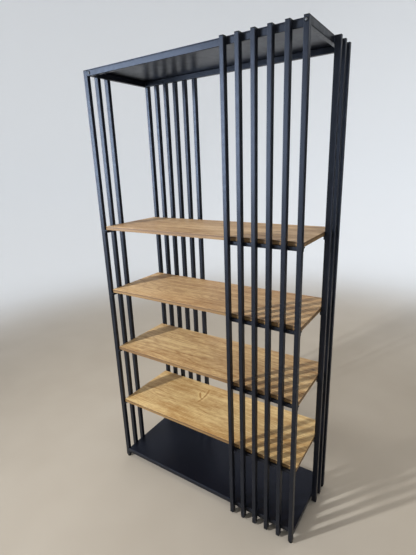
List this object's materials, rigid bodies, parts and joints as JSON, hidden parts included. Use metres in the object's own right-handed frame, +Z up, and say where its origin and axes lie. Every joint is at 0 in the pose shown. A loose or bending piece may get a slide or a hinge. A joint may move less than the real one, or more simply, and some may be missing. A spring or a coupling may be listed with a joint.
{
  "type": "slatted steel and wood bookcase",
  "caption": "Open bookcase of black steel tube with slatted corner groups, a sheet top and base, and loose wood shelves resting on welded angles.",
  "frame": {"origin": "on the floor, under the middle of the case", "axes": "+X to the right seen from the front, +Y towards the back, +Z up"},
  "size_m": [0.9, 0.366, 1.75],
  "materials": {
    "black_steel": "satin black powder coat with a fine texture",
    "black_sheet": "satin black powder coat, smooth",
    "shelf_wood": "oiled honey-coloured wood, grain along the width",
    "black_plastic": "matt black moulded plastic",
    "zinc_steel": "bright zinc-plated"
  },
  "bodies": {
    "case": {"top_sheet": "black_sheet", "base_sheet": "black_sheet", "top_front_rail": "black_steel", "top_back_rail": "black_steel", "top_left_rail": "black_steel", "top_right_rail": "black_steel", "base_front_rail": "black_steel", "base_back_rail": "black_steel", "base_left_rail": "black_steel", "base_right_rail": "black_steel", "front_slat_1": "black_steel", "front_slat_2": "black_steel", "front_slat_3": "black_steel", "front_slat_4": "black_steel", "front_slat_5": "black_steel", "front_slat_6": "black_steel", "back_slat_1": "black_steel", "back_slat_2": "black_steel", "back_slat_3": "black_steel", "back_slat_4": "black_steel", "back_slat_5": "black_steel", "back_slat_6": "black_steel", "left_slat_1": "black_steel", "left_slat_2": "black_steel", "left_slat_3": "black_steel", "right_slat_1": "black_steel", "right_slat_2": "black_steel", "right_slat_3": "black_steel", "shelf_1_front_angle": "black_steel", "shelf_1_back_angle": "black_steel", "shelf_1_left_angle": "black_steel", "shelf_1_right_angle": "black_steel", "shelf_2_front_angle": "black_steel", "shelf_2_back_angle": "black_steel", "shelf_2_left_angle": "black_steel", "shelf_2_right_angle": "black_steel", "shelf_3_front_angle": "black_steel", "shelf_3_back_angle": "black_steel", "shelf_3_left_angle": "black_steel", "shelf_3_right_angle": "black_steel", "shelf_4_front_angle": "black_steel", "shelf_4_back_angle": "black_steel", "shelf_4_left_angle": "black_steel", "shelf_4_right_angle": "black_steel", "front_post_foot": "black_plastic", "back_post_foot": "black_plastic", "left_post_foot": "black_plastic", "right_post_foot": "black_plastic", "top_end_caps": "black_plastic", "lower_end_caps": "black_plastic", "corner_screws": "zinc_steel", "screw_washers": "black_plastic"},
    "shelf_1": {"shelf_1": "shelf_wood"},
    "shelf_2": {"shelf_2": "shelf_wood"},
    "shelf_3": {"shelf_3": "shelf_wood"},
    "shelf_4": {"shelf_4": "shelf_wood"}
  },
  "joints": [
    {"name": "shelf_1_lift", "type": "slide", "parent": "case", "child": "shelf_1", "axis": [0, 0, 1], "range_m": [0, 0.248]},
    {"name": "shelf_2_lift", "type": "slide", "parent": "case", "child": "shelf_2", "axis": [0, 0, 1], "range_m": [0, 0.248]},
    {"name": "shelf_3_lift", "type": "slide", "parent": "case", "child": "shelf_3", "axis": [0, 0, 1], "range_m": [0, 0.248]},
    {"name": "shelf_4_lift", "type": "slide", "parent": "case", "child": "shelf_4", "axis": [0, 0, 1], "range_m": [0, 0.564]}
  ]
}
